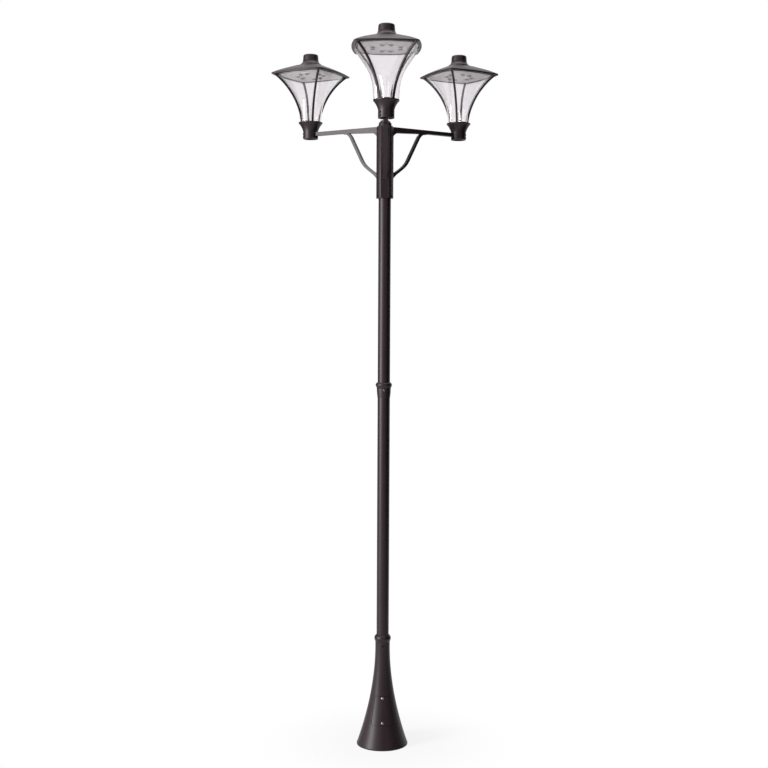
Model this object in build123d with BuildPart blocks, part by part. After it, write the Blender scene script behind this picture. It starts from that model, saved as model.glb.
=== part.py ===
"""Garden lamp post with three lanterns.

A two-length steel pole stands on a foundation flange inside a cast trumpet-shaped base cover with
an access door. A six-sided crown sleeve near the top carries three braced arms, 120 degrees apart,
and each arm carries one lantern: collar, clear diffuser, ribbed cage, gear tray and cast roof.

Millimetres, +Z up, origin on the pole's axis at ground level. The front arm and the door face -Y.
Each lantern piece is drawn once round its own vertical axis, with -Y pointing away from the post,
and then turned and moved to its arm.
"""

import os
from math import cos, radians, sin, sqrt

from build123d import *

# ---------------------------------------------------------------- driving dimensions, mm
# Pole
pole_diameter = 60.0
pole_wall = 3.5
pole_joint_height = 1765.0
slip_gap = 0.3
weld_gap = 0.3

# Foundation flange
flange_diameter = 210.0
flange_thickness = 10.0
bolt_circle = 170.0
bolt_hole_diameter = 14.0
bolt_count = 4
gusset_height = 60.0
gusset_reach = 62.0
gusset_thickness = 5.0

# Base cover
cover_wall = 4.0
neck_wall = 5.4
neck_height = 478.0
neck_bore_depth = 16.0
foot_flare = 90.3
flare_power = 1.866
foot_rim_height = 5.0
foot_rim_step = 1.0
cover_screw_above_neck = 12.0
bead_above_neck = 47.0
bead_wall = 10.4
bead_rise = 17.0
bead_land = 2.0
bead_under_step = 2.0
bead_belly_step = 0.4
bead_belly_rise = 3.4

# Access door
door_bottom = 112.0
door_top = 250.0
door_half_angle = 38.0
door_corner = 8.0
door_seam = 1.2
door_proud = 1.0
door_rest_gap = 0.3
door_seat_width = 6.0
door_seat_thickness = 3.0
door_screw_inset = 11.5
door_boss_radius = 9.5
door_boss_depth = 6.0
lug_width = 26.0
lug_thickness = 8.0

# Connection box in the base
wiring_slot_width = 18.0
wiring_slot_length = 60.0
box_bottom = 136.0
box_height = 84.0
box_width = 40.0
box_depth = 15.0
box_wall = 2.0
box_lid_thickness = 2.5
box_ear = 12.0

# Coupling over the pole joint, its heights counted from the joint
coupling_drop = 55.5
coupling_rise = 19.5
coupling_foot_wall = 0.7
coupling_neck_wall = 3.7
coupling_neck_rise = 6.0
coupling_neck_sweep = 0.8
coupling_screw_above_foot = 37.5
coupling_bead_wall = 9.5
coupling_bead_above_joint = 7.7
coupling_bead_half = 7.0
coupling_bead_step = 1.2
coupling_edge_wall = 1.3
joint_spigot_length = 300.0
joint_spigot_wall = 4.0

# Crown sleeve and post cap
arm_height = 3021.0
sleeve_rise = 1.0
sleeve_length = 347.0
pad_wall = 5.2
pad_half_width = 24.0
sleeve_edge = 3.0
sleeve_shoulder = 9.0
sleeve_shoulder_taper = 22.0
sleeve_recess_depth = 6.0
sleeve_recess_step = 2.2
sleeve_screw_inset = 10.0
cap_overhang = 1.8
cap_edge = 1.5
cap_band = 9.0
cap_dome = 24.0
cap_plug_length = 24.0

# Arms
arm_angles = {"front": -90.0, "right": 30.0, "left": 150.0}
arm_reach = 427.0
arm_width = 20.6
arm_depth_root = 26.0
arm_depth_end = 18.0
gusset_drop = 76.0
gusset_run = 80.0
gusset_corner = 12.0
brace_width = 12.0
brace_bury = 3.0
brace_start_reach = 236.0
brace_knee_reach = 202.0
brace_bend_reach = 116.5
brace_bend_drop = 178.5
brace_foot_drop = 240.0
brace_foot_height = 30.0
brace_foot_length = 26.0
brace_foot_rise = 20.8
brace_foot_half = 7.2
brace_knee_radius = 50.0
brace_bend_radius = 120.0
cable_bore_diameter = 9.0
spigot_radius = 30.0
spigot_wall = 6.0
spigot_foot = 2.5
spigot_height = 66.0

# Lantern collar
collar_drop = 31.0
collar_radius = 37.0
collar_straight = 36.0
collar_height = 81.5
collar_lip_radius = 59.5
collar_lip_height = 4.5
collar_flare_waist = 7.6
collar_slot_gap = 0.35
collar_screw_rows = (9.0, 24.0)
collar_screw_angles = (-45.0, 45.0)

# Clear diffuser: bowed faces between ribs that follow one large arc
diffuser_wall = 3.0
diffuser_seat_gap = 0.3
diffuser_rim_gap = 0.2
diffuser_rim_inset = 11.5
face_reach_by_height = {0.0: 57.5, 55.0: 62.0, 110.0: 75.0, 170.0: 109.5}
rib_arc_radius = 338.0
rib_foot_reach = 44.06
rib_head_inset = 21.54
rib_width = 10.0
rib_depth = 9.0
rib_bury = 4.0
rib_gap = 0.4

# Closing plate in the foot of the diffuser
base_plate_thickness = 3.0
base_plate_gap = 0.6
base_plate_hole_radius = 14.0

# Eave frame and roof
eave_height = 230.5
eave_thickness = 7.0
eave_half = 141.7
eave_bulge = 15.3
eave_corner = 9.0
eave_band = 24.0
roof_gap = 0.3
roof_wall_drop = 3.6
# Each level of the hips: rise, set-back from the eave, bow of the sides, corner radius
roof_levels = ((0.0, 1.5, 15.3, 9.0), (6.0, 10.7, 13.5, 10.0), (17.5, 31.1, 10.5, 14.0),
               (29.0, 55.7, 7.5, 22.0), (39.5, 78.7, 4.5, 34.0))
flare_foot_height = 47.5
flare_foot_radius = 54.0
flare_waist_rise = 10.0
flare_waist_step = 5.5
stack_radius = 37.0
stack_foot_height = 72.0
stack_foot_step = 1.5
roof_height = 96.7
stack_edge = 6.0
stack_edge_shoulder = 1.8
stack_wall = 4.0
gasket_width = 3.0
gasket_inset = 13.7
gasket_thickness = 3.0

# Gear tray, lens modules and driver
tray_gap = 4.0
tray_thickness = 2.0
tray_rim_height = 7.0
boss_inset = 20.7
boss_radius = 5.0
module_reach = 62.0
module_spacing = 38.0
module_size = (30.0, 66.0, 1.6)
lens_radius = 11.0
lens_height = 5.0
lens_taper = 35.0
driver_size = (112.0, 56.0, 22.0)

# Fasteners: head radius, head height, shank radius
m8_button = (7.0, 3.8, 4.0)
lid_screw_radius = 2.0
lid_screw_stand = 1.0
set_screw_radius = 4.0
set_screw_stand = 2.0
hole_gap = 0.1
socket_share = 0.45

os.makedirs("parts", exist_ok=True)

# ---------------------------------------------------------------- derived values
pole_radius = pole_diameter / 2
pole_bore = pole_radius - pole_wall
slip_radius = pole_radius + slip_gap
neck_radius = slip_radius + neck_wall
bead_radius = slip_radius + bead_wall
bead_height = neck_height + bead_above_neck
cover_screw_height = neck_height + cover_screw_above_neck
coupling_low = pole_joint_height - coupling_drop
coupling_high = pole_joint_height + coupling_rise
coupling_screw_height = coupling_low + coupling_screw_above_foot
coupling_neck_radius = slip_radius + coupling_neck_wall
coupling_bead_radius = slip_radius + coupling_bead_wall
coupling_bead_height = pole_joint_height + coupling_bead_above_joint
pad_distance = slip_radius + pad_wall
cap_radius = pole_radius + cap_overhang
sleeve_top = arm_height + sleeve_rise
sleeve_bottom = sleeve_top - sleeve_length
collar_bottom = arm_height - collar_drop
collar_top = collar_bottom + collar_height
eave_bottom = collar_top + eave_height
eave_top = eave_bottom + eave_thickness
roof_bottom = eave_top + roof_gap
diffuser_height = eave_height - diffuser_seat_gap - diffuser_rim_gap
face_reach_by_height[diffuser_height] = eave_half + eave_bulge - diffuser_rim_inset
gasket_half = eave_half - gasket_inset
tray_half = eave_half - eave_band - tray_gap
tray_bottom = eave_bottom
tray_top = tray_bottom + tray_thickness
boss_reach = tray_half - boss_inset

# A rib's arc runs from its foot on the collar to its head under the eave's corner
rib_chord = Vector(eave_half * sqrt(2) - rib_head_inset - rib_foot_reach, eave_height)
rib_bow = sqrt(rib_arc_radius**2 - (rib_chord.length / 2) ** 2)
rib_outward = Vector(rib_chord.Y, -rib_chord.X).normalized()
rib_centre = Vector(rib_foot_reach, 0) + rib_chord / 2 + rib_outward * rib_bow
rib_centre_height = collar_top + rib_centre.Y


def save(part, name):
    """Label one finished piece and write it to its own file."""
    part.label = name
    export_step(part, f"parts/{name}.step")


def vertical_plane(angle, reach=0.0):
    """Upright plane: x runs outward at the angle, y runs up, and reach shifts it along x."""
    outward = Vector(cos(radians(angle)), sin(radians(angle)), 0)
    sideways = Vector(sin(radians(angle)), -cos(radians(angle)), 0)
    return Plane(origin=outward * reach, x_dir=outward, z_dir=sideways)


def facing_plane(angle, reach, height):
    """Plane whose normal points outward at the angle, for screws and cross bores."""
    outward = Vector(cos(radians(angle)), sin(radians(angle)), 0)
    centre = outward * reach + Vector(0, 0, height)
    return Plane(origin=centre, x_dir=Vector(0, 0, 1), z_dir=outward)


def button_screw(size, length):
    """Socket screw along +Z, with the underside of its head at the origin."""
    head_radius, head_height, shank_radius = size
    with BuildPart() as screw:
        with BuildSketch(Plane.XY):
            Circle(head_radius)
            RegularPolygon(radius=head_radius * socket_share, side_count=6, mode=Mode.SUBTRACT)
        extrude(amount=head_height)
        with BuildSketch(Plane.XY.offset(head_height / 2)):
            Circle(head_radius * socket_share)
        extrude(amount=-head_height / 2)
        with BuildSketch(Plane.XY):
            Circle(shank_radius)
        extrude(amount=-length)
    return screw.part


def set_screw(radius, length):
    """Headless screw along +Z, with its outer end at the origin."""
    with BuildPart() as screw:
        with BuildSketch(Plane.XY):
            Circle(radius)
        extrude(amount=-length)
    return screw.part


# ---------------------------------------------------------------- foundation flange
with BuildPart() as base_flange:
    with BuildSketch(Plane.XY):
        Circle(flange_diameter / 2)
        Circle(pole_bore, mode=Mode.SUBTRACT)
        with PolarLocations(bolt_circle / 2, bolt_count, start_angle=180 / bolt_count):
            Circle(bolt_hole_diameter / 2, mode=Mode.SUBTRACT)
    extrude(amount=flange_thickness)
    gusset_foot = pole_radius + weld_gap
    for turn in range(bolt_count):
        with BuildSketch(vertical_plane(turn * 360 / bolt_count)):
            with BuildLine():
                Polyline(
                    (gusset_foot, flange_thickness),
                    (gusset_foot + gusset_reach, flange_thickness),
                    (gusset_foot + gusset_reach, flange_thickness + gusset_thickness),
                    (gusset_foot + gusset_thickness, flange_thickness + gusset_height),
                    (gusset_foot, flange_thickness + gusset_height),
                    close=True,
                )
            make_face()
        extrude(amount=gusset_thickness / 2, both=True)
save(base_flange.part, "base_flange")

# ---------------------------------------------------------------- lower pole
slot_height = box_bottom + box_height / 2
with BuildPart() as lower_pole:
    with BuildSketch(Plane.XY.offset(flange_thickness)):
        Circle(pole_radius)
        Circle(pole_bore, mode=Mode.SUBTRACT)
    extrude(amount=pole_joint_height - flange_thickness)
    with BuildSketch(Plane.XZ):
        with Locations((0, slot_height)):
            SlotOverall(wiring_slot_length, wiring_slot_width, rotation=90)
    extrude(amount=pole_diameter, mode=Mode.SUBTRACT)
save(lower_pole.part, "lower_pole")


# ---------------------------------------------------------------- base cover
# Stations up the trumpet's profile: three arcs outside, seven cones inside, closer at the foot
arc_stations = 7
cone_stations = 8
station_power = 1.3


def cover_radius(height):
    """Outer radius of the trumpet, from the flared foot to the straight neck."""
    share = max(neck_height - height, 0) / neck_height
    return neck_radius + foot_flare * share**flare_power


def trumpet(grow, low, high, smooth=True):
    """Solid trumpet between two heights, its surface grown outward; inner walls are drawn as cones."""
    stations = arc_stations if smooth else cone_stations
    shares = [1 - (1 - n / (stations - 1)) ** station_power for n in range(stations)]
    heights = [low + (high - low) * share for share in shares]
    points = [(cover_radius(height) + grow, height) for height in heights]
    with BuildPart() as solid:
        with BuildSketch(Plane.XZ):
            with BuildLine():
                if smooth:
                    for n in range(0, stations - 1, 2):
                        ThreePointArc(*points[n : n + 3])
                else:
                    Polyline(*points)
                Polyline(points[-1], (0, high), (0, low), points[0])
            make_face()
        revolve(axis=Axis.Z)
    return solid.part


def door_prism(grow, start=0.0):
    """Rounded door outline, grown by the given amount, reaching out to the front."""
    lower = cover_radius(door_bottom) * sin(radians(door_half_angle))
    upper = cover_radius(door_top) * sin(radians(door_half_angle))
    with BuildPart() as prism:
        with BuildSketch(Plane.XZ.offset(start)):
            with BuildLine():
                Polyline(
                    (-lower, door_bottom),
                    (lower, door_bottom),
                    (upper, door_top),
                    (-upper, door_top),
                    close=True,
                )
            face = make_face()
            fillet(face.vertices(), door_corner)
            offset(amount=grow, mode=Mode.REPLACE)
        extrude(amount=neck_radius + foot_flare)
    return prism.part


bead_top = bead_height + bead_rise
bead_low = bead_height - bead_rise
bore_low = neck_height - neck_bore_depth
foot_radius = cover_radius(foot_rim_height) + foot_rim_step
door_screw_heights = {"upper": door_top - door_screw_inset, "lower": door_bottom + door_screw_inset}
door_screw_seats = {
    end: cover_radius(height + m8_button[0]) + door_proud - door_rest_gap
    for end, height in door_screw_heights.items()
}
cover_core = trumpet(-cover_wall, foot_rim_height, neck_height, smooth=False)

seat_core = trumpet(-cover_wall - door_seat_thickness, foot_rim_height, neck_height, smooth=False)

with BuildPart() as door_lugs:
    for end, height in door_screw_heights.items():
        lug_front = door_screw_seats[end] - door_boss_depth - door_rest_gap
        edge = door_top + door_seat_width if end == "upper" else door_bottom - door_seat_width
        inner = height - door_boss_radius if end == "upper" else height + door_boss_radius
        with BuildSketch(Plane.XZ.offset(lug_front - lug_thickness)):
            with Locations((0, (edge + inner) / 2)):
                Rectangle(lug_width, abs(edge - inner))
        extrude(amount=4 * lug_thickness)
    add(cover_core, mode=Mode.INTERSECT)

with BuildPart() as door_seat:
    add(cover_core)
    add(seat_core, mode=Mode.SUBTRACT)
    add(door_prism(door_seat_width), mode=Mode.INTERSECT)
    add(door_prism(-door_seat_width), mode=Mode.SUBTRACT)

with BuildPart() as base_cover:
    with BuildSketch(Plane.XY):
        Circle(foot_radius)
    extrude(amount=foot_rim_height)
    add(trumpet(0, foot_rim_height, neck_height))
    with BuildSketch(Plane.XZ):
        with BuildLine():
            bead_top_edge = (slip_radius + bead_land, bead_top)
            bead_under = (bead_radius - bead_under_step, bead_height - bead_rise / 2)
            Polyline(bead_under, (neck_radius, bead_low), (neck_radius, neck_height), (0, neck_height))
            Polyline((0, neck_height), (0, bead_top), bead_top_edge)
            bead_belly = (bead_radius - bead_belly_step, bead_height + bead_belly_rise)
            ThreePointArc(bead_top_edge, bead_belly, bead_under)
        make_face()
    revolve(axis=Axis.Z)
    add(cover_core, mode=Mode.SUBTRACT)
    with BuildSketch(Plane.XY):
        Circle(foot_radius - cover_wall)
    extrude(amount=foot_rim_height, mode=Mode.SUBTRACT)
    with BuildSketch(Plane.XY.offset(bore_low)):
        Circle(slip_radius)
    extrude(amount=bead_top, mode=Mode.SUBTRACT)
    add(door_prism(0), mode=Mode.SUBTRACT)
    add(door_seat.part)
    add(door_lugs.part)
    for end, height in door_screw_heights.items():
        with BuildSketch(Plane.XZ.offset(door_screw_seats[end] - door_boss_depth - door_rest_gap)):
            with Locations((0, height)):
                Circle(door_boss_radius + door_rest_gap)
        extrude(amount=foot_radius, mode=Mode.SUBTRACT)
        with BuildSketch(Plane.XZ):
            with Locations((0, height)):
                Circle(m8_button[2] + hole_gap)
        extrude(amount=foot_radius, mode=Mode.SUBTRACT)
    for turn in range(3):
        with BuildSketch(facing_plane(30 + turn * 120, 0, cover_screw_height)):
            Circle(set_screw_radius + hole_gap)
        extrude(amount=foot_radius, mode=Mode.SUBTRACT)
save(base_cover.part, "base_cover")

with BuildPart() as base_cover_screws:
    for turn in range(3):
        seat = facing_plane(30 + turn * 120, neck_radius + set_screw_stand, cover_screw_height)
        with Locations(seat.location):
            add(set_screw(set_screw_radius, neck_radius + set_screw_stand - slip_radius))
save(base_cover_screws.part, "base_cover_screws")

# ---------------------------------------------------------------- access door and its screws
door_core = trumpet(-cover_wall + door_rest_gap, foot_rim_height, neck_height, smooth=False)
with BuildPart() as access_door:
    add(trumpet(door_proud, foot_rim_height, neck_height))
    add(door_prism(-door_seam), mode=Mode.INTERSECT)
    add(door_core, mode=Mode.SUBTRACT)
    for end, height in door_screw_heights.items():
        with BuildPart(mode=Mode.PRIVATE) as boss:
            with BuildSketch(Plane.XZ.offset(door_screw_seats[end] - door_boss_depth)):
                with Locations((0, height)):
                    Circle(door_boss_radius)
            extrude(amount=door_boss_depth)
        add(boss.part)
    for end, height in door_screw_heights.items():
        with BuildSketch(Plane.XZ.offset(door_screw_seats[end])):
            with Locations((0, height)):
                Circle(m8_button[0] + door_rest_gap)
        extrude(amount=foot_radius, mode=Mode.SUBTRACT)
        with BuildSketch(Plane.XZ):
            with Locations((0, height)):
                Circle(m8_button[2] + hole_gap)
        extrude(amount=foot_radius, mode=Mode.SUBTRACT)
save(access_door.part, "access_door")

for end, height in door_screw_heights.items():
    with BuildPart() as door_screw:
        with Locations(facing_plane(-90, door_screw_seats[end] + hole_gap, height).location):
            add(button_screw(m8_button, door_boss_depth + lug_thickness + 2 * door_rest_gap))
    save(door_screw.part, f"door_screw_{end}")

# ---------------------------------------------------------------- connection box
box_back = pole_radius + slip_gap
with BuildPart() as terminal_box:
    with BuildSketch(Plane.XY.offset(box_bottom)):
        with Locations((0, -(pole_radius + box_depth) / 2)):
            Rectangle(box_width, pole_radius + box_depth)
        Circle(box_back, mode=Mode.SUBTRACT)
    extrude(amount=box_height)
    with BuildSketch(Plane.XZ.offset(pole_radius + box_wall)):
        with Locations((0, slot_height)):
            RectangleRounded(box_width - 2 * box_wall, box_height - 2 * box_wall, box_wall)
    extrude(amount=box_depth, mode=Mode.SUBTRACT)
    with BuildSketch(Plane.XZ):
        with Locations((0, slot_height)):
            SlotOverall(wiring_slot_length - 2 * box_wall, wiring_slot_width - 2 * box_wall, rotation=90)
    extrude(amount=pole_diameter, mode=Mode.SUBTRACT)
    with BuildSketch(Plane.XY.offset(box_bottom - box_ear)):
        with Locations((0, -(pole_radius + 2 * box_wall) / 2)):
            Rectangle(wiring_slot_width, pole_radius + 2 * box_wall)
        Circle(box_back, mode=Mode.SUBTRACT)
    extrude(amount=box_height + 2 * box_ear)
save(terminal_box.part, "terminal_box")

with BuildPart() as terminal_lid:
    with BuildSketch(Plane.XZ.offset(pole_radius + box_depth)):
        with Locations((0, slot_height)):
            RectangleRounded(box_width, box_height, box_wall)
    extrude(amount=box_lid_thickness)
    for height in (box_bottom + 2 * box_wall, box_bottom + box_height - 2 * box_wall):
        with BuildSketch(Plane.XZ.offset(pole_radius + box_depth + box_lid_thickness)):
            with Locations((0, height)):
                Circle(lid_screw_radius)
        extrude(amount=lid_screw_stand)
save(terminal_lid.part, "terminal_lid")

# ---------------------------------------------------------------- coupling at the pole joint
with BuildPart() as coupling_collar:
    with BuildSketch(Plane.XZ):
        with BuildLine():
            coupling_edge = (slip_radius + coupling_edge_wall, coupling_high)
            neck_top = (coupling_neck_radius, coupling_screw_height + coupling_neck_rise)
            bead_foot = (coupling_bead_radius - coupling_bead_step, coupling_bead_height - coupling_bead_half)
            Polyline(
                coupling_edge,
                (slip_radius, coupling_high),
                (slip_radius, coupling_low),
                (slip_radius + coupling_foot_wall, coupling_low),
                (coupling_neck_radius, coupling_screw_height - coupling_neck_rise),
                neck_top,
            )
            SagittaArc(neck_top, bead_foot, coupling_neck_sweep)
            ThreePointArc(bead_foot, (coupling_bead_radius, coupling_bead_height), coupling_edge)
        make_face()
    revolve(axis=Axis.Z)
    for turn in range(3):
        with BuildSketch(facing_plane(-90 + turn * 120, 0, coupling_screw_height)):
            Circle(set_screw_radius + hole_gap)
        extrude(amount=coupling_bead_radius, mode=Mode.SUBTRACT)
save(coupling_collar.part, "coupling_collar")

with BuildPart() as coupling_screws:
    for turn in range(3):
        seat_reach = coupling_neck_radius + set_screw_stand
        with Locations(facing_plane(-90 + turn * 120, seat_reach, coupling_screw_height).location):
            add(set_screw(set_screw_radius, seat_reach - slip_radius))
save(coupling_screws.part, "coupling_screws")

with BuildPart() as joint_spigot:
    with BuildSketch(Plane.XY.offset(pole_joint_height - joint_spigot_length / 2)):
        Circle(pole_bore - slip_gap)
        Circle(pole_bore - slip_gap - joint_spigot_wall, mode=Mode.SUBTRACT)
    extrude(amount=joint_spigot_length)
save(joint_spigot.part, "joint_spigot")

# ---------------------------------------------------------------- upper pole
cable_height = arm_height - arm_depth_end / 2
with BuildPart() as upper_pole:
    with BuildSketch(Plane.XY.offset(pole_joint_height)):
        Circle(pole_radius)
        Circle(pole_bore, mode=Mode.SUBTRACT)
    extrude(amount=sleeve_top - pole_joint_height)
    for angle in arm_angles.values():
        with BuildSketch(facing_plane(angle, 0, cable_height)):
            Rectangle(cable_bore_diameter, cable_bore_diameter)
        extrude(amount=pole_diameter, mode=Mode.SUBTRACT)
save(upper_pole.part, "upper_pole")

# ---------------------------------------------------------------- crown sleeve, its screws, cap
sleeve_corners = [
    Vector(pad_distance, side * pad_half_width).rotate(Axis.Z, angle)
    for angle in arm_angles.values()
    for side in (-1, 1)
]
land_distance = pad_distance / 2 + pad_half_width * sqrt(3) / 2
sleeve_screw_height = sleeve_bottom + sleeve_screw_inset
with BuildPart() as crown_sleeve:
    for level in (sleeve_bottom, sleeve_top - sleeve_shoulder):
        with BuildSketch(Plane.XY.offset(level)):
            outline = Polygon(*[(corner.X, corner.Y) for corner in sleeve_corners], align=None)
            chamfer(outline.vertices(), sleeve_edge)
        if level == sleeve_bottom:
            extrude(amount=sleeve_length - sleeve_shoulder)
        else:
            extrude(amount=sleeve_shoulder, taper=sleeve_shoulder_taper)
    with BuildSketch(Plane.XY.offset(sleeve_bottom)):
        Circle(slip_radius)
    extrude(amount=sleeve_length, mode=Mode.SUBTRACT)
    with BuildSketch(Plane.XY.offset(sleeve_bottom)):
        Circle(slip_radius + sleeve_recess_step)
    extrude(amount=sleeve_recess_depth, mode=Mode.SUBTRACT)
    for angle in arm_angles.values():
        with BuildSketch(facing_plane(angle, 0, cable_height)):
            Rectangle(cable_bore_diameter, cable_bore_diameter)
        extrude(amount=land_distance, mode=Mode.SUBTRACT)
        with BuildSketch(facing_plane(angle + 60, 0, sleeve_screw_height)):
            Circle(set_screw_radius + hole_gap)
        extrude(amount=land_distance + set_screw_stand, mode=Mode.SUBTRACT)
save(crown_sleeve.part, "crown_sleeve")

with BuildPart() as sleeve_screws:
    for angle in arm_angles.values():
        seat_reach = land_distance + set_screw_stand
        with Locations(facing_plane(angle + 60, seat_reach, sleeve_screw_height).location):
            add(set_screw(set_screw_radius, seat_reach - slip_radius))
save(sleeve_screws.part, "sleeve_screws")

with BuildPart() as post_cap:
    with BuildSketch(Plane.XZ):
        with BuildLine():
            Polyline(
                (0, sleeve_top - cap_plug_length),
                (pole_bore - slip_gap, sleeve_top - cap_plug_length),
                (pole_bore - slip_gap, sleeve_top + slip_gap),
                (cap_radius - cap_edge, sleeve_top + slip_gap),
                (cap_radius, sleeve_top + slip_gap + cap_edge),
                (cap_radius, sleeve_top + cap_band),
            )
            RadiusArc(
                (cap_radius, sleeve_top + cap_band),
                (0, sleeve_top + cap_band + cap_dome),
                -(cap_radius**2 + cap_dome**2) / (2 * cap_dome),
            )
            Line((0, sleeve_top + cap_band + cap_dome), (0, sleeve_top - cap_plug_length))
        make_face()
    revolve(axis=Axis.Z)
save(post_cap.part, "post_cap")

# ---------------------------------------------------------------- arms
with BuildPart() as arm:
    with BuildSketch(vertical_plane(-90)):
        with BuildLine():
            Polyline(
                (pad_distance, arm_height - gusset_drop),
                (pad_distance, arm_height),
                (arm_reach, arm_height),
                (arm_reach, arm_height - arm_depth_end),
                (brace_start_reach, arm_height - arm_depth_end),
                (gusset_run, arm_height - arm_depth_root),
            )
            ThreePointArc(
                (gusset_run, arm_height - arm_depth_root),
                (pad_distance + gusset_corner, arm_height - arm_depth_root - gusset_corner),
                (pad_distance, arm_height - gusset_drop),
            )
        make_face()
        with BuildLine():
            FilletPolyline(
                (brace_start_reach, arm_height - arm_depth_end + brace_bury),
                (brace_knee_reach, arm_height - arm_depth_end + brace_bury),
                (brace_bend_reach, arm_height - brace_bend_drop),
                (pad_distance, arm_height - brace_foot_drop),
                radius=(brace_knee_radius, brace_bend_radius),
            )
        trace(line_width=brace_width)
        with Locations((pad_distance / 2, arm_height - brace_foot_drop)):
            Rectangle(pad_distance, 2 * brace_foot_height, mode=Mode.SUBTRACT)
    extrude(amount=arm_width / 2, both=True)
    with BuildSketch(vertical_plane(-90)):
        with BuildLine():
            foot = arm_height - brace_foot_drop
            Polyline(
                (pad_distance, foot - brace_foot_height / 2),
                (pad_distance, foot + brace_foot_height / 2),
                (pad_distance + brace_foot_length, foot + brace_foot_rise + brace_foot_half),
                (pad_distance + brace_foot_length, foot + brace_foot_rise - brace_foot_half),
                close=True,
            )
        make_face()
    extrude(amount=arm_width / 2, both=True)
    with BuildSketch(Plane(origin=(0, -arm_reach, collar_bottom + spigot_foot))):
        Circle(spigot_radius)
    extrude(amount=spigot_height)
    with BuildSketch(Plane(origin=(0, -arm_reach, collar_bottom + spigot_foot))):
        Circle(spigot_radius - spigot_wall)
    extrude(amount=spigot_height, mode=Mode.SUBTRACT)
    with BuildSketch(facing_plane(-90, pad_distance, cable_height)):
        Circle(cable_bore_diameter / 2)
    extrude(amount=arm_reach - pad_distance, mode=Mode.SUBTRACT)

for side, angle in arm_angles.items():
    save(arm.part.moved(Location((0, 0, 0), (0, 0, angle + 90))), f"arm_{side}")

# ---------------------------------------------------------------- lantern pieces, round their own axis
lantern = {}
face_angles = (0, 90, 180, 270)
corner_angles = (45, 135, 225, 315)


def lobed_outline(half, bulge, corner):
    """Square face with bowed sides and rounded corners."""
    with BuildSketch() as outline:
        with BuildLine():
            for turn in range(4):
                ends = [Vector(half, side * half).rotate(Axis.Z, turn * 90) for side in (-1, 1)]
                middle = Vector(half + bulge, 0).rotate(Axis.Z, turn * 90)
                ThreePointArc(ends[0], middle, ends[1])
        face = make_face()
        fillet(face.vertices(), corner)
    return outline.sketch


def diffuser_section(height, face_reach, inset):
    """Cushion-shaped face: four bowed sides that meet in flats behind the ribs."""
    rib_back = rib_arc_radius + rib_depth / 2 + rib_gap
    flat_reach = rib_centre.X - sqrt(rib_back**2 - (height - rib_centre.Y) ** 2) - inset
    flat_half = rib_width / 2 + rib_gap + inset / 2
    with BuildSketch() as section:
        with BuildLine():
            for turn in range(4):
                ends = [Vector(flat_reach, s * flat_half).rotate(Axis.Z, turn * 90 + 45) for s in (-1, 1)]
                start = Vector(flat_reach, flat_half).rotate(Axis.Z, turn * 90 - 45)
                middle = Vector(face_reach - inset, 0).rotate(Axis.Z, turn * 90)
                ThreePointArc(start, middle, ends[0])
                Line(ends[0], ends[1])
        make_face()
    return section.sketch


# Collar: fitter casting that slips over the arm's upright spigot
with BuildPart() as collar:
    with BuildSketch(Plane.XZ):
        with BuildLine():
            straight_top = collar_bottom + collar_straight
            lip_bottom = collar_top - collar_lip_height
            spigot_room = collar_bottom + spigot_foot + spigot_height + slip_gap
            Polyline(
                (collar_radius, straight_top),
                (collar_radius, collar_bottom),
                (spigot_radius + slip_gap, collar_bottom),
                (spigot_radius + slip_gap, spigot_room),
                (spigot_radius - spigot_wall, spigot_room),
                (spigot_radius - spigot_wall, collar_top),
                (collar_lip_radius, collar_top),
                (collar_lip_radius, lip_bottom),
            )
            ThreePointArc(
                (collar_lip_radius, lip_bottom),
                (collar_radius + collar_flare_waist, (straight_top + lip_bottom) / 2),
                (collar_radius, straight_top),
            )
        make_face()
    revolve(axis=Axis.Z)
    with BuildSketch(Plane.XY.offset(collar_bottom)):
        with Locations((0, collar_radius / 2)):
            Rectangle(arm_width + 2 * collar_slot_gap, collar_radius)
    extrude(amount=collar_drop + collar_slot_gap, mode=Mode.SUBTRACT)
    for turn in collar_screw_angles:
        for row in collar_screw_rows:
            with BuildSketch(facing_plane(turn - 90, 0, collar_bottom + row)):
                Circle(set_screw_radius + hole_gap)
            extrude(amount=collar_radius, mode=Mode.SUBTRACT)
lantern["collar"] = collar.part

with BuildPart() as collar_screws:
    for turn in collar_screw_angles:
        for row in collar_screw_rows:
            seat_reach = collar_radius + set_screw_stand
            with Locations(facing_plane(turn - 90, seat_reach, collar_bottom + row).location):
                add(set_screw(set_screw_radius, seat_reach - spigot_radius - slip_gap))
lantern["collar_screws"] = collar_screws.part

# Closing plate in the diffuser's foot
with BuildPart() as base_plate:
    with BuildSketch(Plane.XY.offset(collar_top)):
        add(diffuser_section(0, face_reach_by_height[0.0], diffuser_wall + base_plate_gap))
        Circle(base_plate_hole_radius, mode=Mode.SUBTRACT)
    extrude(amount=base_plate_thickness)
lantern["base_plate"] = base_plate.part

# Diffuser: clear moulding, open at the top and at the foot
with BuildPart() as diffuser:
    for height, face_reach in face_reach_by_height.items():
        with BuildSketch(Plane.XY.offset(collar_top + diffuser_seat_gap + height)):
            add(diffuser_section(height, face_reach, 0))
    loft()
    for height, face_reach in face_reach_by_height.items():
        with BuildSketch(Plane.XY.offset(collar_top + diffuser_seat_gap + height)):
            add(diffuser_section(height, face_reach, diffuser_wall))
    loft(mode=Mode.SUBTRACT)
lantern["diffuser"] = diffuser.part

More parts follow.
